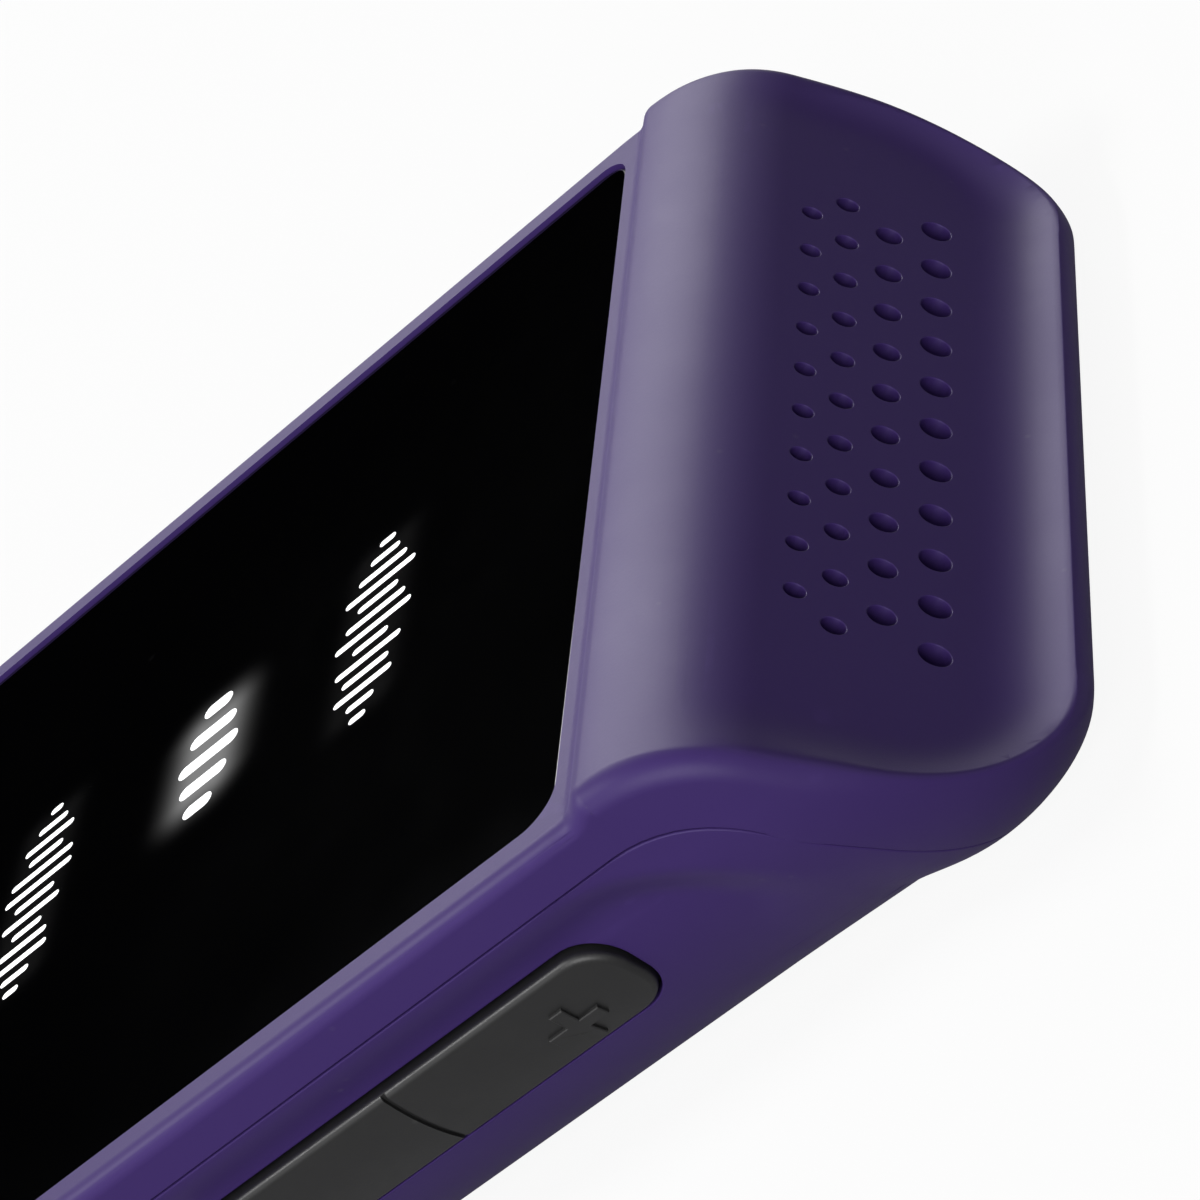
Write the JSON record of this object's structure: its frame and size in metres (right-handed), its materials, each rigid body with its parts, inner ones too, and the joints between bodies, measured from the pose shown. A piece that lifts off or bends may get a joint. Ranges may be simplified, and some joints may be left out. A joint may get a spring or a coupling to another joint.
{
  "type": "handheld translator",
  "caption": "Pocket translator with a glass face, a rolled and dished speaker end with a drilled grille, and side keys.",
  "frame": {"origin": "Middle of the flat rear face, on the middle plane, halfway along the upright walls of the two ends", "axes": "+X to the volume rocker side, +Y to the speaker end, +Z out of the screen"},
  "size_m": [0.062, 0.1297, 0.019],
  "materials": {
    "housing": "soft-touch satin moulding",
    "cover_glass": "black-printed cover glass, opaque while the screen is dark",
    "foam": "die-cut foam",
    "display": "display stack",
    "frame_metal": "stamped sheet",
    "screw_steel": "blackened screws",
    "battery_wrap": "wrapped pouch",
    "circuit_board": "solder mask",
    "shield_metal": "tinned sheet",
    "ribbon_film": "polyimide film",
    "port_metal": "drawn stainless steel",
    "dark_plastic": "black moulding",
    "camera_glass": "dark camera window",
    "led": "phosphor",
    "light_pipe": "milky light pipe",
    "mesh_fabric": "woven acoustic mesh",
    "cone_paper": "speaker cone",
    "magnet_steel": "plated magnet cup",
    "key_plastic": "dark grey satin keys",
    "switch_metal": "tact switches"
  },
  "bodies": {
    "housing": {"battery": "battery_wrap", "battery_pad": "foam", "camera_module": "dark_plastic", "camera_window": "camera_glass", "cover_glass": "cover_glass", "display_panel": "display", "flash_led": "led", "flash_window": "light_pipe", "frame_screws": "screw_steel", "front_housing": "housing", "glass_gasket": "foam", "key_switches": "switch_metal", "left_key_board": "circuit_board", "link_ribbon": "ribbon_film", "main_board": "circuit_board", "microphones": "shield_metal", "mid_frame": "frame_metal", "modem_shield": "shield_metal", "port_shell": "port_metal", "port_tongue": "dark_plastic", "processor_shield": "shield_metal", "rear_housing": "housing", "right_key_board": "circuit_board", "speaker_cone": "cone_paper", "speaker_frame": "dark_plastic", "speaker_gasket": "foam", "speaker_magnet": "magnet_steel", "speaker_mesh": "mesh_fabric", "sub_board": "circuit_board", "vibration_motor": "port_metal"},
    "volume_rocker": {"volume_rocker": "key_plastic"},
    "power_key": {"power_key": "key_plastic"},
    "talk_key": {"talk_key": "key_plastic"}
  },
  "joints": [
    {"name": "rocker_tilt", "type": "hinge", "parent": "housing", "child": "volume_rocker", "pos_m": [0.0271, 0.0301, 0.0101], "axis": [0, 0, 1], "range_deg": [-1.2, 1.2], "stiffness_Nm_per_rad": 0.6},
    {"name": "power_press", "type": "slide", "parent": "housing", "child": "power_key", "axis": [1, 0, 0], "range_m": [0, 0.00035], "stiffness_N_per_m": 2000},
    {"name": "talk_press", "type": "slide", "parent": "housing", "child": "talk_key", "axis": [1, 0, 0], "range_m": [0, 0.00035], "stiffness_N_per_m": 2000}
  ]
}
